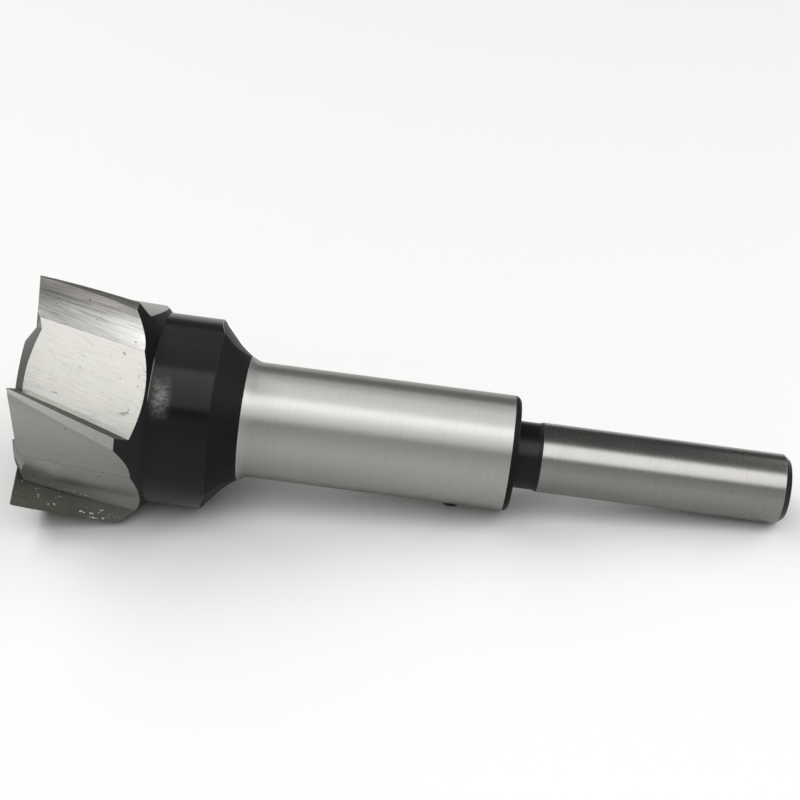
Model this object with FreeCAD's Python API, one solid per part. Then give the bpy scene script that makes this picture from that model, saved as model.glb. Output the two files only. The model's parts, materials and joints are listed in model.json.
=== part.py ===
# Plug cutter: toothed head, collar and barrel in one solid, with a straight shank held in the barrel by a grub screw
import FreeCAD, Part
import math
import os

os.makedirs("parts", exist_ok=True)

Vector = FreeCAD.Vector
CENTRE = Vector(0, 0, 0)
ALONG = Vector(1, 0, 0)
ACROSS = Vector(0, 1, 0)

# Lengths are in millimetres and angles in degrees.
# The tool is drawn with its axis on X and its cutting tips at x = 0, then laid down as it rests.

# Cutting head
tooth_count = 5
plug_radius = 15.0
head_wall = 7.1
head_length = 19.5
edge_twist = 16.7
edge_roll_at_head_end = -1.3

# Back of each tooth, at the tips and at the end of the head, measured behind its cutting edge
margin_width_front = 0.75
margin_width_rear = 2.3
crease_angle_front = 31.6
crease_angle_rear = 24.5
crease_drop_front = 0.85
crease_drop_rear = 2.45
root_drop_front = 4.9
root_drop_rear = 2.5
flank_hollow_front = 0.15
flank_hollow_rear = 0.45
back_crown_front = 0.05
back_crown_rear = 0.3

# How far the ground flank's arc runs on past the margin, as a share of its length
flank_run_out = 0.6

# Grinding of the tooth ends
end_clearance_angle = 12.0
end_bevel_angle = 36.0
notch_start = 10.0
notch_middle_share = 0.42
notch_slope_angle = 62.0
notch_skew_angle = -9.0

# Collar behind the head
collar_wall = 2.7
collar_cone_angle = 45.0
collar_length = 11.1
plug_floor_setback = 5.0

# Shoulder from the collar down to the barrel
shoulder_angle = 50.0
shoulder_fillet = 2.9

# Two reliefs milled across the shoulder
relief_count = 2
relief_roll = -36.0
relief_collar_bite = 1.3
relief_lip_length = 0.65
relief_lip_drop = 0.9
relief_step_length = 2.2
relief_step_drop = 2.6
relief_sag = 0.3
relief_barrel_stand = 0.5
relief_crown_offset = 22.0

# Barrel
barrel_radius = 10.77
barrel_length = 47.0
barrel_corner = 1.25

# Shank
shank_radius = 6.5
neck_radius = 6.25
neck_length = 3.9
neck_taper = 0.8
shank_length = 44.8
shank_chamfer_length = 1.2
shank_chamfer_drop = 0.95
spigot_length = 25.0
spigot_chamfer = 0.5
spigot_clearance = 0.02

# Grub screw
screw_radius = 1.5
screw_stand = 0.43
screw_chamfer = 0.35
screw_setback = 10.6
screw_roll = 150.0
screw_clearance = 0.02
screw_flat_depth = 0.5
screw_flat_length = 6.0
screw_key_size = 1.5
screw_key_depth = 1.6

# Room that a cutter leaves around what it removes
over = 2.0

# Sections that a gullet's surfaces are drawn through
gullet_sections = 7

# How finely the outline is followed when the tool is set down
box_precision = 0.01

head_radius = plug_radius + head_wall
collar_radius = plug_radius + collar_wall
collar_front = head_length + (head_radius - collar_radius) / math.tan(math.radians(collar_cone_angle))
collar_rear = collar_front + collar_length
plug_floor = collar_rear - plug_floor_setback

shoulder_slope = math.radians(shoulder_angle)
fillet_top_radius = barrel_radius + shoulder_fillet * (1 - math.cos(shoulder_slope))
fillet_front = collar_rear + (collar_radius - fillet_top_radius) / math.tan(shoulder_slope)
barrel_front = fillet_front + shoulder_fillet * math.sin(shoulder_slope)
barrel_rear = barrel_front + barrel_length + barrel_corner

socket_floor = barrel_rear - spigot_length
neck_rear = barrel_rear + neck_length
shank_front = neck_rear + neck_taper
shank_rear = shank_front + shank_length
tool_length = shank_rear + shank_chamfer_length
screw_place = barrel_rear - screw_setback
screw_seat_radius = neck_radius - screw_flat_depth

tooth_pitch = 360.0 / tooth_count
gullet_outside = 1.5 * head_radius
block_size = 6 * head_radius
hexagon_sides = 6


def at(x, radius, roll):
    """Point at x along the axis, at a radius and a roll in degrees from straight up."""
    angle = math.radians(roll)
    return Vector(x, -radius * math.sin(angle), radius * math.cos(angle))


def turned(points, arcs=(), centre=CENTRE):
    """Solid turned about a line along the tool from (x, height) points. An arc is (index, through point)."""
    through = dict(arcs)
    corners = [Vector(x, 0, height) for x, height in points]
    edges = []
    for index, start in enumerate(corners):
        end = corners[(index + 1) % len(corners)]
        if index in through:
            middle = Vector(through[index][0], 0, through[index][1])
            edges.append(Part.Arc(start, middle, end).toShape())
        else:
            edges.append(Part.makeLine(start, end))
    face = Part.Face(Part.Wire(edges))
    return face.revolve(centre, ALONG, 360)


def rolled(shape, roll):
    """Copy of a shape turned about the tool's axis."""
    copy = shape.copy()
    copy.rotate(CENTRE, ALONG, roll)
    return copy


def around(shape, count, first_roll):
    """Copies of a shape, evenly spaced about the tool's axis."""
    return [rolled(shape, first_roll + index * 360.0 / count) for index in range(count)]


def half_space(point, normal):
    """Large block whose one face passes through the point, on the side that the normal points to."""
    block = Part.makeBox(block_size, block_size, block_size, Vector(-block_size / 2, -block_size / 2, 0))
    block.Placement = FreeCAD.Placement(point, FreeCAD.Rotation(Vector(0, 0, 1), normal))
    return block


def blend(front, rear, x):
    """Value that runs evenly from the tips to the end of the head, and on past it."""
    return front + (rear - front) * x / head_length


def edge_roll(x):
    """Roll of the first tooth's cutting edge."""
    return edge_roll_at_head_end + edge_twist * (x / head_length - 1)


def bow_middle(start, end, height):
    """Middle of an arc from start to end that stands out from the axis by a height, or in for a hollow."""
    chord = (end - start).normalize()
    outward = ALONG.cross(chord)
    middle = (start + end) * 0.5
    if outward.dot(Vector(0, middle.y, middle.z)) < 0:
        outward = outward * -1
    return middle + outward * height


def run_out(start, end, height):
    """Point where the arc from start to end, bowed by a height, arrives when it runs on past its end."""
    circle = Part.Arc(start, bow_middle(start, end, height), end).toShape().Curve
    sweep = 2 * math.asin(min(1.0, (end - start).Length / 2 / circle.Radius)) * flank_run_out
    turn = (start - circle.Center).cross(end - circle.Center)
    return circle.Center + FreeCAD.Rotation(turn, math.degrees(sweep)).multVec(end - circle.Center)


def gullet_section(x):
    """Outline of the space between one tooth's back and the next tooth's face."""
    roll = edge_roll(x)
    margin_end = roll + math.degrees(blend(margin_width_front, margin_width_rear, x) / head_radius)
    crease_roll = roll + blend(crease_angle_front, crease_angle_rear, x)
    next_edge = roll + tooth_pitch
    flank_top = at(x, head_radius, margin_end)
    crease = at(x, head_radius - blend(crease_drop_front, crease_drop_rear, x), crease_roll)
    root = at(x, head_radius - blend(root_drop_front, root_drop_rear, x), next_edge)
    flank_end = run_out(crease, flank_top, -blend(flank_hollow_front, flank_hollow_rear, x))
    face_top = at(x, head_radius + over, next_edge)
    far_end = at(x, gullet_outside, next_edge - tooth_pitch / 4)
    far_start = at(x, gullet_outside, margin_end + tooth_pitch / 4)
    back_crown = blend(back_crown_front, back_crown_rear, x)
    return Part.Wire([
        Part.Arc(flank_end, flank_top, crease).toShape(),
        Part.Arc(crease, bow_middle(crease, root, back_crown), root).toShape(),
        Part.makeLine(root, face_top),
        Part.makeLine(face_top, far_end),
        Part.makeLine(far_end, far_start),
        Part.makeLine(far_start, flank_end),
    ])


def gullet():
    """Space cut out between two teeth, following the twist of the cutting edges."""
    first = -over / 2
    spacing = (collar_front + over - first) / (gullet_sections - 1)
    return Part.makeLoft([gullet_section(first + spacing * index) for index in range(gullet_sections)], True, False)


def clearance_fall():
    """How far a tooth's end falls back from its cutting edge for each millimetre behind it."""
    return math.tan(math.radians(end_clearance_angle))


def beyond_notch(slope_angle):
    """Block behind the end notch of a tooth whose cutting edge points straight up."""
    slope = math.radians(slope_angle)
    skew = math.radians(notch_skew_angle)
    middle_radius = plug_radius + head_wall * notch_middle_share
    foot = Vector(notch_start * clearance_fall(), -notch_start, middle_radius)
    normal = Vector(-math.sin(slope), -math.cos(slope) * math.cos(skew), math.cos(slope) * math.sin(skew))
    return half_space(foot, normal)


def end_clearance():
    """What is ground off the leading part of a tooth's end, so that only its cutting edge touches the wood."""
    reach = head_radius
    corners = [
        Vector(0, 0, 0),
        Vector(reach * clearance_fall(), -reach, 0),
        Vector(-over, -reach, 0),
        Vector(-over, 0, 0),
    ]
    wedge = Part.Face(Part.makePolygon(corners + corners[:1])).extrude(Vector(0, 0, head_radius + over))
    return wedge.cut(beyond_notch(0))


def end_bevel():
    """What is ground off the trailing part of a tooth's end: a cone that falls away outside the plug's edge."""
    rise = math.tan(math.radians(end_bevel_angle))
    outer = head_radius + over
    ring = turned([
        (-over, plug_radius - over / rise),
        (-over, outer),
        ((outer - plug_radius) * rise, outer),
    ])
    ground = ring.common(beyond_notch(notch_slope_angle))
    twist_rate = math.radians(edge_twist) / head_length
    lean = math.atan(twist_rate * (head_radius - root_drop_front))
    next_face = Vector(-math.sin(lean), -math.cos(lean), 0)
    return ground.cut(rolled(half_space(CENTRE, next_face), tooth_pitch))


def shoulder_relief():
    """Shallow hollow milled across the shoulder, crowned about a line beyond the tool's axis."""
    lip_top = (collar_rear - relief_collar_bite, collar_radius)
    lip_foot = (lip_top[0] + relief_lip_length, collar_radius - relief_lip_drop)
    step = (lip_top[0] + relief_step_length, collar_radius - relief_step_drop)
    end = (fillet_front + relief_barrel_stand, barrel_radius + relief_barrel_stand)
    high = collar_radius + 2 * over
    above = (lip_top[0] - over * relief_lip_length / relief_lip_drop, collar_radius + over)
    run = (end[0] - step[0], end[1] - step[1])
    length = math.hypot(run[0], run[1])
    middle = (
        (step[0] + end[0]) / 2 + relief_sag * run[1] / length,
        (step[1] + end[1]) / 2 - relief_sag * run[0] / length,
    )
    outline = [above, lip_foot, step, end, (end[0], high), (above[0], high)]
    return turned(outline, [(outline.index(step), middle)], Vector(0, 0, -relief_crown_offset))


def body_blank():
    """The turned body before its teeth are cut, with the plug bore and the socket for the shank."""
    half_slope = shoulder_slope / 2
    fillet_middle = (
        barrel_front - shoulder_fillet * math.sin(half_slope),
        barrel_radius + shoulder_fillet * (1 - math.cos(half_slope)),
    )
    corner_start = barrel_rear - barrel_corner
    corner_middle = (
        corner_start + barrel_corner * math.sin(math.radians(45)),
        barrel_radius - barrel_corner * (1 - math.cos(math.radians(45))),
    )
    socket_radius = neck_radius + spigot_clearance
    points = [
        (0, plug_radius),
        (0, head_radius),
        (head_length, head_radius),
        (collar_front, collar_radius),
        (collar_rear, collar_radius),
        (fillet_front, fillet_top_radius),
        (barrel_front, barrel_radius),
        (corner_start, barrel_radius),
        (barrel_rear, barrel_radius - barrel_corner),
        (barrel_rear, socket_radius),
        (socket_floor, socket_radius),
        (socket_floor, 0),
        (plug_floor, 0),
        (plug_floor, plug_radius),
    ]
    return turned(points, [(5, fillet_middle), (7, corner_middle)])


def make_cutter_body():
    """Head, collar and barrel, one solid."""
    body = body_blank()
    first_edge = edge_roll(0)
    body = body.cut(around(gullet(), tooth_count, 0))
    body = body.cut(around(end_clearance(), tooth_count, first_edge))
    body = body.cut(around(end_bevel(), tooth_count, first_edge))
    body = body.cut(around(shoulder_relief(), relief_count, relief_roll))
    hole = Part.makeCylinder(
        screw_radius + screw_clearance,
        barrel_radius + over,
        Vector(screw_place, 0, 0),
        Vector(0, 0, 1),
    )
    return body.cut(rolled(hole, screw_roll)).removeSplitter()


def make_drive_shank():
    """Straight shank with its neck, and the spigot that goes into the barrel."""
    shank = turned([
        (socket_floor, 0),
        (socket_floor, neck_radius - spigot_chamfer),
        (socket_floor + spigot_chamfer, neck_radius),
        (neck_rear, neck_radius),
        (shank_front, shank_radius),
        (shank_rear, shank_radius),
        (tool_length, shank_radius - shank_chamfer_drop),
        (tool_length, 0),
    ])
    flat = Part.makeBox(
        screw_flat_length,
        2 * neck_radius,
        neck_radius,
        Vector(screw_place - screw_flat_length / 2, -neck_radius, screw_seat_radius),
    )
    return shank.cut(rolled(flat, screw_roll))


def make_clamp_screw():
    """Grub screw through the barrel's wall onto the flat of the spigot."""
    top = barrel_radius + screw_stand
    axis_up = Vector(0, 0, 1)
    foot = Vector(screw_place, 0, screw_seat_radius)
    length = top - screw_seat_radius
    rod = Part.makeCylinder(screw_radius, length - 2 * screw_chamfer, foot + axis_up * screw_chamfer, axis_up)
    narrow = screw_radius - screw_chamfer
    point = Part.makeCone(narrow, screw_radius, screw_chamfer, foot, axis_up)
    crown = Part.makeCone(screw_radius, narrow, screw_chamfer, foot + axis_up * (length - screw_chamfer), axis_up)
    key_corner = screw_key_size / math.sqrt(3)
    corners = []
    for index in range(hexagon_sides):
        angle = math.radians(index * 360 / hexagon_sides)
        offset = Vector(key_corner * math.cos(angle), key_corner * math.sin(angle), 0)
        corners.append(Vector(screw_place, 0, top - screw_key_depth) + offset)
    key = Part.Face(Part.makePolygon(corners + corners[:1])).extrude(axis_up * (screw_key_depth + over))
    screw = rod.fuse([point, crown]).removeSplitter().cut(key)
    return rolled(screw, screw_roll)


def rest_tilt():
    """Angle by which the shank end dips when the tool lies on a flat surface."""
    lowest = [(collar_rear, collar_radius), (fillet_front, fillet_top_radius), (barrel_rear, barrel_radius)]
    for tooth in range(tooth_count):
        for x in (0, head_length):
            roll = edge_roll(x) + tooth * tooth_pitch
            lowest.append((x, -head_radius * math.cos(math.radians(roll))))
    slopes = [(drop - shank_radius) / (shank_rear - x) for x, drop in lowest]
    return math.degrees(math.atan(max(slopes)))


def standing_shift(shapes):
    """Move that puts the lowest point of the shapes on z = 0 and the middle of their box over the origin."""
    points = [point for shape in shapes for point in shape.tessellate(box_precision)[0]]
    low = [min(point[axis] for point in points) for axis in range(3)]
    high = [max(point[axis] for point in points) for axis in range(3)]
    return Vector(-(low[0] + high[0]) / 2, -(low[1] + high[1]) / 2, -low[2])


cutter_body = make_cutter_body()
drive_shank = make_drive_shank()
clamp_screw = make_clamp_screw()
pieces = [cutter_body, drive_shank, clamp_screw]

for piece in pieces:
    piece.rotate(CENTRE, ACROSS, rest_tilt())
shift = standing_shift(pieces)
for piece in pieces:
    piece.translate(shift)

cutter_body.exportStep("parts/cutter_body.step")
drive_shank.exportStep("parts/drive_shank.step")
clamp_screw.exportStep("parts/clamp_screw.step")
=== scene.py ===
# Plug cutter: looks of the ground and blackened steel, on the fixed frame
import json
import math

import bpy
from mathutils import Euler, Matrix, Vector

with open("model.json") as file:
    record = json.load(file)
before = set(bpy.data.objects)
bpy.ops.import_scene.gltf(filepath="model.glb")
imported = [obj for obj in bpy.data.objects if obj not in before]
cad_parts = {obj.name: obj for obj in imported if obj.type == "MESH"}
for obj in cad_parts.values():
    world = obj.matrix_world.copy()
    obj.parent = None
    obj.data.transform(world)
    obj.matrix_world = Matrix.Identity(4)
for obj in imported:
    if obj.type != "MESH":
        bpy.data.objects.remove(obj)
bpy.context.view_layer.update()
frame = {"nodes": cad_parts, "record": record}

MM = 0.001

# The head's end, in millimetres behind the cutting tips, and its radius
HEAD_END = 19.5
HEAD_RADIUS = 22.1

# Teeth: how many, how far they twist along the head, the first edge's roll at the head's end,
# and how far behind its edge each one's crease lies, in degrees at the tips and at the head's end
TOOTH_COUNT = 5
EDGE_TWIST = 16.7
EDGE_ROLL_AT_HEAD_END = -1.3
CREASE_ANGLE_FRONT = 31.6
CREASE_ANGLE_REAR = 24.5
# Degrees in front of the edge that still count as that tooth, so that its rake face does
RAKE_SLACK = 2.5

# Places of a finish. Two numbers say where it begins and where it is full, and four where it begins, is full, starts
# to fade and ends. These are in millimetres behind the cutting tips, or from the axis, and have crisp borders
HEAD_ALONG = (24.1, 23.9)
CONE_ALONG = (19.51, 19.53)
OFF_CONE = (0.09, 0.05)
COLLAR_BEGINS = (23.84, 23.88)
SHOULDER_ENDS = (39.98, 39.92)
BARREL_END_ALONG = (89.17, 89.25)
BORE_RADIUS = (15.06, 15.02)
BORE_ALONG = (30.3, 30.1)
CUT_RADIUS = (17.6, 17.4)
CUT_ALONG = (31.0, 31.5)
NECK_ALONG = (95.17, 95.07)
SHANK_END_ALONG = (139.89, 139.97)

# Wear, painted light and painted shade that the photograph shows, in the same millimetres, and in degrees round the
# tool from its top towards the
# camera: the scuffed patch and the scrape on the collar, the teeth near the top with a painted highlight on their
# margins and a painted dark reflection on their edge bands, the lower teeth with a brown film and painted shade, the
# chipped ones, and the roots
SCUFF_ALONG = (23.6, 25.6, 26.4, 28.4)
SCUFF_ROUND = (32, 48, 48, 64)
SCRAPE_ALONG = (23.81, 23.91, 23.93, 24.03)
SCRAPE_ROUND = (23, 29, 47, 53)
# Teeth near the top, whose margins take a painted highlight and whose edge bands take a painted dark reflection
TOP_LIGHT_ROUND = (50, 40)
# Lower teeth, which carry a brown film with painted shade for the shadowed table that they mirror
FILM_AND_SHADE_ROUND = (104, 116)
FILM_AND_SHADE_ALONG = (22.0, 8.0)
CHIPPED_ROUND = (118, 130)
WORN_CORNER_ALONG = (10.5, 14.5, 16.0, 20.0)
WORN_CORNER_RADIUS = (19.8, 21.4)
ROOT_ROUND = (84, 98)
# The same, in degrees behind the crease of a tooth
MARGIN_BEHIND = (0.3, -0.3)
# A thin line of painted shade along the crease
CREASE_SHADE_BEHIND = (-0.35, 0.05, -0.05, 0.35)
ROOT_BEHIND = (16, 34)
BRIGHT_MARGIN_BEHIND = (-12, 12)
# Degrees by which a border wanders: the border of the edge band on the margin, drawn out in streaks, and the border of
# the brown film with its painted shade
STREAK_REACH = 26.0
FILM_AND_SHADE_WAVER = 14.32
# Millimetres by which the border of the black parts wavers
BLACK_WAVER = 0.12

# Grey patterns: patches in a millimetre along the tool and across it, how finely they break up, and how strongly
PATTERNS = {
    # Grinding marks lie about 0.05 mm apart. They are drawn 0.3 mm apart and 17 or 10 mm long, or they would not show
    "barrel rings": (3.2, 0.06, 3.0, 0.6),
    "shank rings": (3.6, 0.06, 3.0, 0.6),
    "tooth lines": (0.10, 3.0, 4.0, 0.6),
    # Thin scratches wander over 2 to 6 mm and break off after about 3 mm
    "scratch drift": (0.16, 0.42, 1.0, 0.4),
    "scratch breaks": (0.30, 0.30, 2.0, 0.5),
    # Specks and pits of up to 1 mm, of which only the tops are drawn, as dots of 0.1 to 0.3 mm
    "worn spots": (1.1, 1.1, 3.0, 0.6),
    "pits": (1.3, 1.3, 3.0, 0.6),
    "chips": (0.8, 1.4, 3.0, 0.7),
    "shank spots": (0.9, 1.7, 2.0, 0.6),
    "oxide specks": (2.6, 2.6, 2.0, 0.6),
    # Smudges of fingers and oil, 3 to 6 mm across
    "body smudge": (0.16, 0.16, 3.0, 0.6),
    "shank smudge": (0.2, 0.2, 3.0, 0.6),
    "oxide cloud": (0.35, 0.35, 3.0, 0.6),
    # Rubbing on the black parts, in streaks of 0.6 by 2 mm, and the scuffed patch's grain of about 1 mm
    "oxide rub": (1.6, 0.5, 4.0, 0.7),
    "scuff grain": (0.7, 1.1, 5.0, 0.8),
    # The black's border wavers every 1.2 mm
    "border waver": (0.8, 0.8, 2.0, 0.5),
    # The screw's oxide has a fine grain of 0.25 mm
    "screw grain": (4.0, 4.0, 2.0, 0.5),
}
SCRATCH_DISTORTION = 0.6
SCRATCH_LEVEL = 0.52

# Levels of a pattern at which its marks begin and are full
SHADE_LEVELS = (0.30, 0.55)
SCRATCH_WIDTH = (0.006, 0.002)
BREAK_LEVELS = (0.52, 0.60)
WORN_SPOT_LEVELS = (0.71, 0.74)
PIT_LEVELS = (0.69, 0.71)
CHIP_LEVELS = (0.66, 0.69)
WORN_CORNER_LIFT = 0.09
SHANK_SPOT_LEVELS = (0.73, 0.76)
RUB_LEVELS = (0.62, 0.85)
SPECK_LEVELS = (0.74, 0.80)
SCUFF_LEVELS = (0.32, 0.66)

# How much of what lies under it each mark hides
RUB_STRENGTH = 0.25
SPECK_STRENGTH = 0.35
SCUFF_STRENGTH = 0.65
SCRAPE_STRENGTH = 0.8
CREASE_SHADE_STRENGTH = 0.5
SCRATCH_STRENGTH = 0.6
WORN_SPOT_STRENGTH = 0.7
PIT_STRENGTH = 0.8
SHANK_SPOT_STRENGTH = 0.75
# What is left of the brown film and its painted shade at the head's end and in a tooth's root
FILM_AND_SHADE_AT_HEAD_END = 0.35
FILM_AND_SHADE_IN_ROOT = 0.7
# How dark the bottoms of the grinding marks are, as a share of the steel's colour
BARREL_MARK_SHADE = 0.95
TOOTH_MARK_SHADE = 0.92
SHANK_MARK_SHADE = 0.93

# Which way a face looks, as the cosine of its angle to the tool's axis or to the way round it
CONE_FACING = (0.60, 0.66)
RAKE_FACING = (-0.60, -0.85)
END_BEVEL_FACING = (-0.35, -0.60)
END_FACE_FACING = (-0.88, -0.93)

# Steel, ground: the barrel, the teeth's backs, margins, edges and rake faces, and the clearance cuts on their ends
BARREL_STEEL = "#C2C1BE"
# The teeth's steel is a darker copy of the barrel's, a painted shade for the shadowed table that the teeth mirror
SHADED_TOOTH_STEEL = "#868581"
# The margin and edge colours of the teeth near the top are a painted highlight and a painted dark reflection; the plain
# ones are the other teeth's
MARGIN_PAINTED_HIGHLIGHT = "#D4D3CF"
PLAIN_MARGIN_STEEL = "#7C7C7A"
EDGE_PAINTED_DARK_REFLECTION = "#75736E"
PLAIN_EDGE_STEEL = "#92918C"
RAKE_STEEL = "#66655F"
END_BEVEL_STEEL = "#32312E"
END_FACE_STEEL = "#7A7974"
SHANK_STEEL = "#7F7E7B"
# Steel under a brown film with painted shade, in pits and scratches and as painted shade along the creases, on worn
# spots, and bare where an edge has chipped
FILMED_AND_SHADED_STEEL = "#45443E"
PIT_AND_CREASE_SHADE_STEEL = "#33322F"
WORN_STEEL = "#8F8D87"
CHIPPED_STEEL = "#E9E9E6"
# Black oxide as it leaves its bath, in the bore, rubbed, and scuffed
OXIDE = "#0B0B0B"
BORE_OXIDE = "#2B2B2A"
RUBBED_OXIDE = "#4A4A48"
SCUFFED_OXIDE = "#7A7A77"

# Roughness: a smooth and a smudged value for each finish, or one value
BARREL_ROUGH = (0.52, 0.58)
TOOTH_ROUGH = (0.12, 0.16)
SHANK_ROUGH = (0.24, 0.30)
OXIDE_ROUGH = (0.30, 0.36)
MARK_ROUGH = 0.06
MARGIN_ROUGH = 0.22
MARGIN_MARK_ROUGH = 0.25
ROOT_ROUGH = 0.5
CHIP_ROUGH = 0.6
SCUFF_ROUGH = 0.5
CUT_ROUGH = 0.85

# The body's grinding marks spread its highlights across them as far as the shader can
BODY_MARK_SPREAD = 1.0
# Black oxide is a thin matt layer, and reflects less than the shader's plain surface. Metal doesn't use this
OXIDE_SHEEN = 0.17
# Ground edges are broken by about a tenth of a millimetre, which draws a thin line of light along them
EDGE_BREAK = 0.12 * MM
EDGE_BREAK_SAMPLES = 6
# Depths of the relief. The marks on the head are deeper than those on the barrel
BODY_RELIEF = 0.008 * MM
HEAD_RELIEF_SHARE = 2.5
SHANK_RELIEF = 0.003 * MM
SCREW_RELIEF = 0.004 * MM

mounts = {mount["name"]: mount for mount in frame["record"]["mounts"]}
tool_axis = Vector(mounts["shank"]["axis"]).normalized()
bore = mounts["plug_bore"]
tips_centre = Vector(bore["pos_m"]) - tool_axis * (bore["dims"]["length_mm"] / 2 * MM)
tilt = math.atan2(-tool_axis.z, tool_axis.x)


def linear(code):
    """Linear colour, with full opacity, of an sRGB hex code."""
    shares = [int(code[place:place + 2], 16) / 255 for place in (1, 3, 5)]
    return [share / 12.92 if share <= 0.04045 else ((share + 0.055) / 1.055) ** 2.4 for share in shares] + [1.0]


def add(tree, kind, inputs=None, out=0, **settings):
    """New node with its settings and links, given as its output. Inputs are values or other nodes' outputs."""
    node = tree.nodes.new(kind)
    for name, value in settings.items():
        setattr(node, name, value)
    for name, value in (inputs or {}).items():
        if isinstance(value, bpy.types.NodeSocket):
            tree.links.new(value, node.inputs[name])
        else:
            node.inputs[name].default_value = value
    return node.outputs[out] if node.outputs else None


def pattern(tree, name, point, distortion=0.0):
    """One of the patterns above, drawn on points of the tool in millimetres."""
    along, across, detail, strength = PATTERNS[name]
    scaled = add(tree, "ShaderNodeMapping", {"Vector": point, "Scale": (along, across, across)})
    inputs = {"Vector": scaled, "Scale": 1.0, "Detail": detail, "Roughness": strength, "Distortion": distortion}
    return add(tree, "ShaderNodeTexNoise", inputs)


def patch(tree, *places, within=1.0, strength=1.0):
    """Share of the surface that a patch of finish covers: the product of its places, inside a wider share.

    A place is a measure with two or four limits, as in the lists of wear above."""
    share = add(tree, "ShaderNodeMath", {0: within, 1: strength}, operation="MULTIPLY")
    for measure, *limits in places:
        # The first limit is bare and the second full, and of four the third is full and the last bare
        for bare, full in zip(limits[::3], limits[1:3]):
            inputs = {"Value": measure, "From Min": bare, "From Max": full}
            side = add(tree, "ShaderNodeMapRange", inputs, interpolation_type="SMOOTHSTEP")
            share = add(tree, "ShaderNodeMath", {0: share, 1: side}, operation="MULTIPLY")
    return share


def coats(tree, colour, *layers):
    """Colour of a surface with layers laid over it in turn, each given as its share and its colour."""
    for share, layer in layers:
        colour = add(tree, "ShaderNodeMix", {0: share, 6: colour, 7: layer}, out=2, data_type="RGBA")
    return colour


class ToolPlace:
    """Where a point of the surface lies on the tool, in millimetres and degrees about its axis, and how it faces."""

    def __init__(self, tree):
        level = Euler((0, -tilt, 0))
        start = tips_centre.copy()
        start.rotate(level)
        world_point = add(tree, "ShaderNodeTexCoord", out="Object")
        inputs = {"Vector": world_point, "Location": -start / MM, "Rotation": level, "Scale": (1 / MM,) * 3}
        self.point = add(tree, "ShaderNodeMapping", inputs)
        self.along, side, up = add(tree, "ShaderNodeSeparateXYZ", {0: self.point}).node.outputs
        arm = add(tree, "ShaderNodeCombineXYZ", {1: side, 2: up})
        self.radius = add(tree, "ShaderNodeVectorMath", {0: arm}, out="Value", operation="LENGTH")
        towards_camera = add(tree, "ShaderNodeMath", {0: side, 1: -1.0}, operation="MULTIPLY")
        roll = add(tree, "ShaderNodeMath", {0: towards_camera, 1: up}, operation="ARCTAN2")
        self.roll = add(tree, "ShaderNodeMath", {0: roll}, operation="DEGREES")

        normal = add(tree, "ShaderNodeNewGeometry", out="Normal")
        axis = tuple(tool_axis)
        inputs = {0: normal, 1: axis}
        self.facing_along = add(tree, "ShaderNodeVectorMath", inputs, out="Value", operation="DOT_PRODUCT")
        level_normal = add(tree, "ShaderNodeMapping", {"Vector": normal, "Rotation": level})
        round_way = add(tree, "ShaderNodeVectorMath", {0: (1, 0, 0), 1: arm}, operation="CROSS_PRODUCT")
        round_way = add(tree, "ShaderNodeVectorMath", {0: round_way}, operation="NORMALIZE")
        inputs = {0: level_normal, 1: round_way}
        self.facing_round = add(tree, "ShaderNodeVectorMath", inputs, out="Value", operation="DOT_PRODUCT")
        self.about = add(tree, "ShaderNodeVectorMath", {0: axis, 1: normal}, operation="CROSS_PRODUCT")
        self.lengthways = add(tree, "ShaderNodeVectorMath", {0: normal, 1: self.about}, operation="CROSS_PRODUCT")


def blank_material(name):
    """Material with an empty node tree."""
    material = bpy.data.materials.new(name)
    material.use_nodes = True
    material.node_tree.nodes.clear()
    return material


def join_looks(tree, looks, relief, depth):
    """Ends a material of the tool with its surface, on edges that are broken, with its relief to a depth in metres."""
    broken_edges = add(tree, "ShaderNodeBevel", {"Radius": EDGE_BREAK}, samples=EDGE_BREAK_SAMPLES)
    inputs = {"Height": relief, "Distance": depth, "Strength": 1.0, "Normal": broken_edges}
    normal = add(tree, "ShaderNodeBump", inputs)
    surface = add(tree, "ShaderNodeBsdfPrincipled", {**looks, "Normal": normal, "Specular IOR Level": OXIDE_SHEEN})
    add(tree, "ShaderNodeOutputMaterial", {"Surface": surface})


def oxide_look(tree, place):
    """Black oxide, grown on the steel in a hot bath: nearly black, with a soft low sheen and a few rubbed spots.

    It hides the metal, so it shades as none."""
    rubbed = patch(tree, (pattern(tree, "oxide rub", place.point), *RUB_LEVELS), strength=RUB_STRENGTH)
    specks = patch(tree, (pattern(tree, "oxide specks", place.point), *SPECK_LEVELS), strength=SPECK_STRENGTH)
    rubbed = add(tree, "ShaderNodeMath", {0: rubbed, 1: specks}, operation="ADD", use_clamp=True)
    colour = coats(tree, linear(OXIDE), (rubbed, linear(RUBBED_OXIDE)))
    smooth, smudged = OXIDE_ROUGH
    cloud = pattern(tree, "oxide cloud", place.point)
    rough = add(tree, "ShaderNodeMix", {0: cloud, 2: smooth, 3: smudged}, data_type="FLOAT")
    return colour, rough


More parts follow.
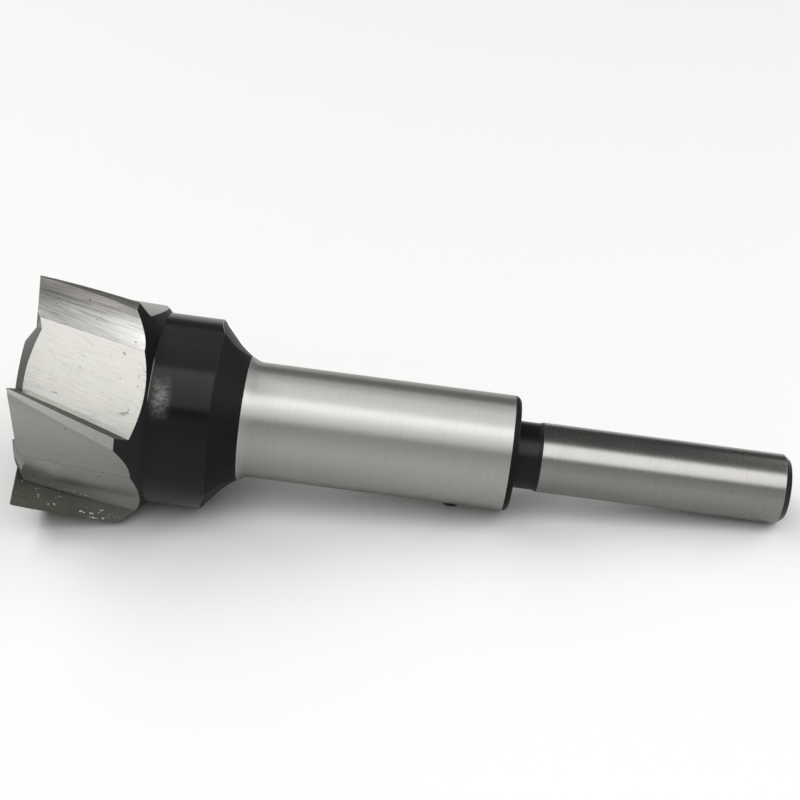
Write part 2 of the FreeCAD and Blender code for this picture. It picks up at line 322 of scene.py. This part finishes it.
def body_black(tree, place):
    """Share of the body that is black, on its cone, collar, shoulder, barrel end and bore, and the bore's alone."""
    waver = pattern(tree, "border waver", place.point)
    waver = add(tree, "ShaderNodeMath", {0: waver, 1: BLACK_WAVER, 2: -BLACK_WAVER / 2}, operation="MULTIPLY_ADD")
    along = add(tree, "ShaderNodeMath", {0: place.along, 1: waver}, operation="ADD")
    collar = patch(tree, (place.along, *COLLAR_BEGINS), (along, *SHOULDER_ENDS))
    # The cone falls at 45 degrees, so its radius and its place along the tool add up to the same all over
    cone_radius = add(tree, "ShaderNodeMath", {0: HEAD_RADIUS + HEAD_END, 1: place.along}, operation="SUBTRACT")
    off_cone = add(tree, "ShaderNodeMath", {0: place.radius, 1: cone_radius}, operation="SUBTRACT")
    off_cone = add(tree, "ShaderNodeMath", {0: off_cone}, operation="ABSOLUTE")
    cone = patch(tree, (off_cone, *OFF_CONE), (place.along, *CONE_ALONG), (place.facing_along, *CONE_FACING))
    barrel_end = patch(tree, (along, *BARREL_END_ALONG))
    inside = patch(tree, (place.radius, *BORE_RADIUS), (place.along, *BORE_ALONG))
    black = collar
    for share in (cone, barrel_end, inside):
        black = add(tree, "ShaderNodeMath", {0: black, 1: share}, operation="MAXIMUM")
    return black, inside


def body_oxide(tree, place, inside):
    """The body's black oxide, with the scuffed patch and the bright scrape on the collar, and rougher shoulder cuts."""
    colour, rough = oxide_look(tree, place)
    grain = pattern(tree, "scuff grain", place.point)
    scuff_place = ((place.along, *SCUFF_ALONG), (place.roll, *SCUFF_ROUND))
    scuff = patch(tree, *scuff_place, (grain, *SCUFF_LEVELS), strength=SCUFF_STRENGTH)
    scrape = patch(tree, (place.along, *SCRAPE_ALONG), (place.roll, *SCRAPE_ROUND), strength=SCRAPE_STRENGTH)
    scuff = add(tree, "ShaderNodeMath", {0: scuff, 1: scrape}, operation="MAXIMUM")
    cut = patch(tree, (place.radius, *CUT_RADIUS), (place.along, *CUT_ALONG))
    colour = coats(tree, colour, (inside, linear(BORE_OXIDE)), (scuff, linear(SCUFFED_OXIDE)))
    for share, value in ((scuff, SCUFF_ROUGH), (cut, CUT_ROUGH)):
        rough = add(tree, "ShaderNodeMix", {0: share, 2: rough, 3: value}, data_type="FLOAT")
    return colour, rough


def behind_crease(tree, place):
    """Degrees that a place on a tooth's back lies behind the crease, less than nothing on the margin."""
    inputs = {0: place.along, 1: EDGE_TWIST / HEAD_END, 2: EDGE_ROLL_AT_HEAD_END - EDGE_TWIST}
    edge = add(tree, "ShaderNodeMath", inputs, operation="MULTIPLY_ADD")
    behind_edge = add(tree, "ShaderNodeMath", {0: place.roll, 1: edge}, operation="SUBTRACT")
    inputs = {0: behind_edge, 1: 360 / TOOTH_COUNT - RAKE_SLACK, 2: -RAKE_SLACK}
    behind_edge = add(tree, "ShaderNodeMath", inputs, operation="WRAP")
    slope = (CREASE_ANGLE_REAR - CREASE_ANGLE_FRONT) / HEAD_END
    crease = add(tree, "ShaderNodeMath", {0: place.along, 1: slope, 2: CREASE_ANGLE_FRONT}, operation="MULTIPLY_ADD")
    return add(tree, "ShaderNodeMath", {0: behind_edge, 1: crease}, operation="SUBTRACT")


def body_steel(tree, place, on_head):
    """The body's ground steel: its colour, roughness and grinding marks.

    Grinding leaves fine marks round the barrel and along the twisted teeth. The teeth's steel is painted darker than
    the barrel's, as painted shade. On the teeth near the top the margins carry a painted highlight, brighter than the
    backs, and their edge bands a painted dark reflection. The edge bands are streaked. The lower teeth carry a brown
    film with painted shade over it, with bare chips, and a thin painted shade runs along each tooth's crease."""
    inputs = {0: place.along, 1: -math.radians(EDGE_TWIST) / HEAD_END}
    untwist = add(tree, "ShaderNodeMath", inputs, operation="MULTIPLY")
    inputs = {"Vector": place.point, "Angle": untwist}
    straight = add(tree, "ShaderNodeVectorRotate", inputs, rotation_type="X_AXIS")
    rings = pattern(tree, "barrel rings", place.point)
    lines = pattern(tree, "tooth lines", straight)
    marks = add(tree, "ShaderNodeMix", {0: on_head, 2: rings, 3: lines}, data_type="FLOAT")
    smudge = pattern(tree, "body smudge", place.point)
    past_crease = behind_crease(tree, place)

    # Teeth near the top: a painted highlight on the margins and a painted dark reflection on the edge bands
    top_light = patch(tree, (place.roll, *TOP_LIGHT_ROUND))
    edge_steel_and_dark_reflection = coats(tree, linear(PLAIN_EDGE_STEEL), (top_light, linear(EDGE_PAINTED_DARK_REFLECTION)))
    margin_steel_and_light = coats(tree, linear(PLAIN_MARGIN_STEEL), (top_light, linear(MARGIN_PAINTED_HIGHLIGHT)))
    streaks = add(tree, "ShaderNodeMath", {0: lines, 1: STREAK_REACH, 2: past_crease}, operation="MULTIPLY_ADD")
    margin_steel_and_light = coats(tree, edge_steel_and_dark_reflection, (patch(tree, (streaks, *BRIGHT_MARGIN_BEHIND)), margin_steel_and_light))
    margin = patch(tree, (past_crease, *MARGIN_BEHIND), within=on_head)

    # The brown film and its painted shade, on the lower teeth where they mirror the shadowed table, waver round the
    # tool, thin out towards the head's end, and are thinner in a tooth's root
    root = patch(tree, (past_crease, *ROOT_BEHIND), (place.roll, *ROOT_ROUND), within=on_head)
    film_and_shade_roll = add(tree, "ShaderNodeMath", {0: smudge, 1: FILM_AND_SHADE_WAVER, 2: place.roll}, operation="MULTIPLY_ADD")
    film_and_shade_limits = [limit + FILM_AND_SHADE_WAVER / 2 for limit in FILM_AND_SHADE_ROUND]
    thin, thick = FILM_AND_SHADE_ALONG
    inputs = {"Value": place.along, "From Min": thin, "From Max": thick, "To Min": FILM_AND_SHADE_AT_HEAD_END}
    film_and_shade_depth = add(tree, "ShaderNodeMapRange", inputs, interpolation_type="SMOOTHSTEP")
    inputs = {"Value": root, "To Min": 1.0, "To Max": FILM_AND_SHADE_IN_ROOT}
    root_depth = add(tree, "ShaderNodeMapRange", inputs, interpolation_type="SMOOTHSTEP")
    film_and_shade_depth = add(tree, "ShaderNodeMath", {0: film_and_shade_depth, 1: root_depth}, operation="MULTIPLY")
    film_and_shade = patch(tree, (film_and_shade_roll, *film_and_shade_limits), within=on_head, strength=film_and_shade_depth)

    colour = coats(
        tree, linear(BARREL_STEEL),
        # The teeth take the darker copy of the steel, a painted shade
        (on_head, linear(SHADED_TOOTH_STEEL)),
        (margin, margin_steel_and_light),
        # A thin line of painted shade along each tooth's crease
        (patch(tree, (past_crease, *CREASE_SHADE_BEHIND), within=on_head, strength=CREASE_SHADE_STRENGTH), linear(PIT_AND_CREASE_SHADE_STEEL)),
        (patch(tree, (place.facing_round, *RAKE_FACING), within=on_head), linear(RAKE_STEEL)),
        # Brown film with painted shade on the lower teeth
        (film_and_shade, linear(FILMED_AND_SHADED_STEEL)),
        (patch(tree, (place.facing_along, *END_BEVEL_FACING), within=on_head), linear(END_BEVEL_STEEL)),
        (patch(tree, (place.facing_along, *END_FACE_FACING), within=on_head), linear(END_FACE_STEEL)),
    )
    # The bottoms of the marks are darker, more so on the teeth
    low, high = SHADE_LEVELS
    darkest = add(tree, "ShaderNodeMix", {0: on_head, 2: BARREL_MARK_SHADE, 3: TOOTH_MARK_SHADE}, data_type="FLOAT")
    inputs = {"Value": marks, "From Min": low, "From Max": high, "To Min": darkest}
    shade = add(tree, "ShaderNodeMapRange", inputs, interpolation_type="SMOOTHSTEP")
    inputs = {0: 1.0, 6: colour, 7: shade}
    colour = add(tree, "ShaderNodeMix", inputs, out=2, data_type="RGBA", blend_type="MULTIPLY")

    # Thin scratches are contours of a drawn-out pattern, broken up by a second one
    drift = pattern(tree, "scratch drift", straight, SCRATCH_DISTORTION)
    off_scratch = add(tree, "ShaderNodeMath", {0: drift, 1: SCRATCH_LEVEL}, operation="SUBTRACT")
    off_scratch = add(tree, "ShaderNodeMath", {0: off_scratch}, operation="ABSOLUTE")
    breaks = pattern(tree, "scratch breaks", place.point)
    scratch_place = ((off_scratch, *SCRATCH_WIDTH), (breaks, *BREAK_LEVELS))
    scratches = patch(tree, *scratch_place, within=on_head, strength=SCRATCH_STRENGTH)
    spot_grain = pattern(tree, "worn spots", place.point)
    worn_spots = patch(tree, (spot_grain, *WORN_SPOT_LEVELS), strength=WORN_SPOT_STRENGTH)
    pits = patch(tree, (pattern(tree, "pits", place.point), *PIT_LEVELS), within=on_head, strength=PIT_STRENGTH)
    # The lowest tooth has lost more of its skin at its rear corner
    worn_corner = patch(tree, (place.along, *WORN_CORNER_ALONG), (place.radius, *WORN_CORNER_RADIUS))
    inputs = {0: worn_corner, 1: WORN_CORNER_LIFT, 2: pattern(tree, "chips", place.point)}
    chip_grain = add(tree, "ShaderNodeMath", inputs, operation="MULTIPLY_ADD")
    chips = patch(tree, (chip_grain, *CHIP_LEVELS), (place.roll, *CHIPPED_ROUND), within=on_head)
    colour = coats(
        tree, colour, (worn_spots, linear(WORN_STEEL)), (pits, linear(PIT_AND_CREASE_SHADE_STEEL)),
        (scratches, linear(PIT_AND_CREASE_SHADE_STEEL)), (chips, linear(CHIPPED_STEEL))
    )

    roughs = [
        add(tree, "ShaderNodeMix", {0: smudge, 2: smooth, 3: smudged}, data_type="FLOAT")
        for smooth, smudged in (BARREL_ROUGH, TOOTH_ROUGH)
    ]
    rough = add(tree, "ShaderNodeMix", {0: on_head, 2: roughs[0], 3: roughs[1]}, data_type="FLOAT")
    rough = add(tree, "ShaderNodeMath", {0: marks, 1: MARK_ROUGH, 2: rough}, operation="MULTIPLY_ADD")
    inputs = {0: marks, 1: MARGIN_MARK_ROUGH, 2: MARGIN_ROUGH}
    margin_rough = add(tree, "ShaderNodeMath", inputs, operation="MULTIPLY_ADD")
    for share, value in ((margin, margin_rough), (root, ROOT_ROUGH), (chips, CHIP_ROUGH)):
        rough = add(tree, "ShaderNodeMix", {0: share, 2: rough, 3: value}, data_type="FLOAT")
    return colour, rough, marks


def cutter_body_material():
    """Hardened tool steel, ground bright on the teeth and barrel and left black from its oxide bath elsewhere.

    The grinding marks draw the highlights out into bands along the barrel, and the black parts hardly reflect."""
    material = blank_material("ground_and_blackened_tool_steel")
    tree = material.node_tree
    place = ToolPlace(tree)
    on_head = patch(tree, (place.along, *HEAD_ALONG))
    black, inside = body_black(tree, place)
    oxide_colour, oxide_rough = body_oxide(tree, place, inside)
    steel_colour, steel_rough, marks = body_steel(tree, place, on_head)
    marks_run = {0: on_head, 4: place.lengthways, 5: place.about}
    looks = {
        "Base Color": coats(tree, steel_colour, (black, oxide_colour)),
        "Metallic": add(tree, "ShaderNodeMath", {0: 1.0, 1: black}, operation="SUBTRACT"),
        "Roughness": add(tree, "ShaderNodeMix", {0: black, 2: steel_rough, 3: oxide_rough}, data_type="FLOAT"),
        "Tangent": add(tree, "ShaderNodeMix", marks_run, out=1, data_type="VECTOR"),
        "Anisotropic": BODY_MARK_SPREAD,
    }
    relief_share = add(tree, "ShaderNodeMix", {0: on_head, 2: 1.0, 3: HEAD_RELIEF_SHARE}, data_type="FLOAT")
    relief = add(tree, "ShaderNodeMath", {0: marks, 1: relief_share}, operation="MULTIPLY")
    join_looks(tree, looks, relief, BODY_RELIEF)
    return material


def shank_material():
    """Steel bar, ground more finely than the barrel, so its highlight is a sharper band with darker sides.

    Its neck, end chamfer and end face are black, and it has a few small dark spots."""
    material = blank_material("ground_shank_steel")
    tree = material.node_tree
    place = ToolPlace(tree)
    rings = pattern(tree, "shank rings", place.point)
    neck = patch(tree, (place.along, *NECK_ALONG))
    rear_end = patch(tree, (place.along, *SHANK_END_ALONG))
    black = add(tree, "ShaderNodeMath", {0: neck, 1: rear_end}, operation="MAXIMUM")
    oxide_colour, oxide_rough = oxide_look(tree, place)
    low, high = SHADE_LEVELS
    inputs = {"Value": rings, "From Min": low, "From Max": high, "To Min": SHANK_MARK_SHADE}
    shade = add(tree, "ShaderNodeMapRange", inputs, interpolation_type="SMOOTHSTEP")
    inputs = {0: 1.0, 6: linear(SHANK_STEEL), 7: shade}
    colour = add(tree, "ShaderNodeMix", inputs, out=2, data_type="RGBA", blend_type="MULTIPLY")
    spot_grain = pattern(tree, "shank spots", place.point)
    spots = patch(tree, (spot_grain, *SHANK_SPOT_LEVELS), strength=SHANK_SPOT_STRENGTH)
    smooth, smudged = SHANK_ROUGH
    smudge = pattern(tree, "shank smudge", place.point)
    rough = add(tree, "ShaderNodeMix", {0: smudge, 2: smooth, 3: smudged}, data_type="FLOAT")
    looks = {
        "Base Color": coats(tree, colour, (spots, linear(PIT_AND_CREASE_SHADE_STEEL)), (black, oxide_colour)),
        "Metallic": add(tree, "ShaderNodeMath", {0: 1.0, 1: black}, operation="SUBTRACT"),
        "Roughness": add(tree, "ShaderNodeMix", {0: black, 2: rough, 3: oxide_rough}, data_type="FLOAT"),
    }
    join_looks(tree, looks, rings, SHANK_RELIEF)
    return material


def screw_material():
    """Grub screw of alloy steel, blackened all over, with a fine grain that keeps its end dull."""
    material = blank_material("blackened_screw_steel")
    tree = material.node_tree
    place = ToolPlace(tree)
    colour, rough = oxide_look(tree, place)
    looks = {"Base Color": colour, "Metallic": 0.0, "Roughness": rough}
    join_looks(tree, looks, pattern(tree, "screw grain", place.point), SCREW_RELIEF)
    return material


# Each node of the frame, the record's slot for its finish, and its material
FINISHES = (
    ("cutter_body", "ground_steel", cutter_body_material),
    ("drive_shank", "shank_steel", shank_material),
    ("clamp_screw", "black_screw", screw_material),
)
for node_name, record_slot, make_material in FINISHES:
    piece = frame["nodes"][node_name]
    node_material = make_material()
    for material_slot in piece.material_slots:
        material_slot.material = node_material


# Studio, in metres: a pale table, with all lamps hanging at one height over it
TABLE_REACH = 1.1
TABLE_COLOUR = "#C9C9C8"
TABLE_ROUGH = 0.9
TABLE_SHEEN = 0.1
LAMP_HEIGHT = 0.8
# Each lamp's centre, width, depth and how bright its face is. They hang so that their reflections fall where the bands
# of light lie on the photograph's barrel, shank and collar
LAMPS = {
    "front_lamp": (0.04, -0.52, 1.00, 0.90, 3.5),
    "left_panel": (-0.72, 0.37, 0.64, 0.88, 5.3),
    "left_back_panel": (-0.80, 1.31, 0.90, 1.0, 2.6),
    "right_panel": (1.1, 0.35, 1.2, 1.5, 3.4),
}
# Light of the air all round, of the air low in front of the tool, and of the backdrop beyond the table
AIR_LIGHT = 0.12
FRONT_AIR_LIGHT = 0.8
BACKDROP_LIGHT = 0.95
# Where each of those begins and is full, by the height of the way it comes from, or how far that way leans back
LOW_AIR = (0.55, 0.35)
FRONT_AIR = (-0.2, -0.5)
BACKDROP_AIR = (0.09, 0.03)

# Camera of the photograph: where it aims, in metres, and from where, in degrees and metres
AIM = (-0.001647, 0.010526, 0.015170)
CAMERA_AZIMUTH = 4.434
CAMERA_ELEVATION = 35.0
CAMERA_DISTANCE = 0.3356
SENSOR_WIDTH = 36.0
LENS = 79.18
NEAREST, FARTHEST = 0.01, 100.0


def table():
    """Matt painted table top, which keeps the tool's shadow and hardly mirrors the lamps."""
    mesh = bpy.data.meshes.new("table_top")
    reach = TABLE_REACH
    corners = [(-reach, -reach, 0), (reach, -reach, 0), (reach, reach, 0), (-reach, reach, 0)]
    mesh.from_pydata(corners, [], [(0, 1, 2, 3)])
    top = bpy.data.objects.new("table_top", mesh)
    bpy.context.scene.collection.objects.link(top)
    material = blank_material("matt_white_table")
    tree = material.node_tree
    inputs = {"Base Color": linear(TABLE_COLOUR), "Roughness": TABLE_ROUGH, "Specular IOR Level": TABLE_SHEEN}
    add(tree, "ShaderNodeOutputMaterial", {"Surface": add(tree, "ShaderNodeBsdfPrincipled", inputs)})
    mesh.materials.append(material)


def soft_lamps():
    """Rectangular lamps that look straight down."""
    for name, (right, back, width, depth, glow) in LAMPS.items():
        data = bpy.data.lights.new(name, "AREA")
        data.shape = "RECTANGLE"
        data.size = width
        data.size_y = depth
        data.energy = math.pi * glow * width * depth
        lamp = bpy.data.objects.new(name, data)
        lamp.location = (right, back, LAMP_HEIGHT)
        lamp.visible_camera = False
        bpy.context.scene.collection.objects.link(lamp)


def air():
    """Dim air, paler low in front of the tool, with a pale backdrop beyond the table."""
    world = bpy.data.worlds.new("studio_air")
    bpy.context.scene.world = world
    world.use_nodes = True
    tree = world.node_tree
    tree.nodes.clear()
    way = add(tree, "ShaderNodeTexCoord", out="Generated")
    _, back, height = add(tree, "ShaderNodeSeparateXYZ", {0: way}).node.outputs
    front = patch(tree, (back, *FRONT_AIR), (height, *LOW_AIR))
    light = add(tree, "ShaderNodeMix", {0: front, 2: AIR_LIGHT, 3: FRONT_AIR_LIGHT}, data_type="FLOAT")
    backdrop = patch(tree, (height, *BACKDROP_AIR))
    light = add(tree, "ShaderNodeMix", {0: backdrop, 2: light, 3: BACKDROP_LIGHT}, data_type="FLOAT")
    background = add(tree, "ShaderNodeBackground", {"Color": light, "Strength": 1.0})
    add(tree, "ShaderNodeOutputWorld", {"Surface": background})


def camera():
    """Camera at the photograph's viewing angle."""
    data = bpy.data.cameras.new("camera")
    data.sensor_width = SENSOR_WIDTH
    data.lens = LENS
    data.clip_start = NEAREST
    data.clip_end = FARTHEST
    stand = bpy.data.objects.new("camera", data)
    turn = math.radians(CAMERA_AZIMUTH)
    rise = math.radians(CAMERA_ELEVATION)
    back = Vector((math.sin(turn) * math.cos(rise), -math.cos(turn) * math.cos(rise), math.sin(rise)))
    stand.location = Vector(AIM) + back * CAMERA_DISTANCE
    stand.rotation_euler = back.to_track_quat("Z", "Y").to_euler()
    bpy.context.scene.collection.objects.link(stand)
    bpy.context.scene.camera = stand


table()
soft_lamps()
air()
camera()
bpy.context.scene.view_settings.view_transform = "Standard"
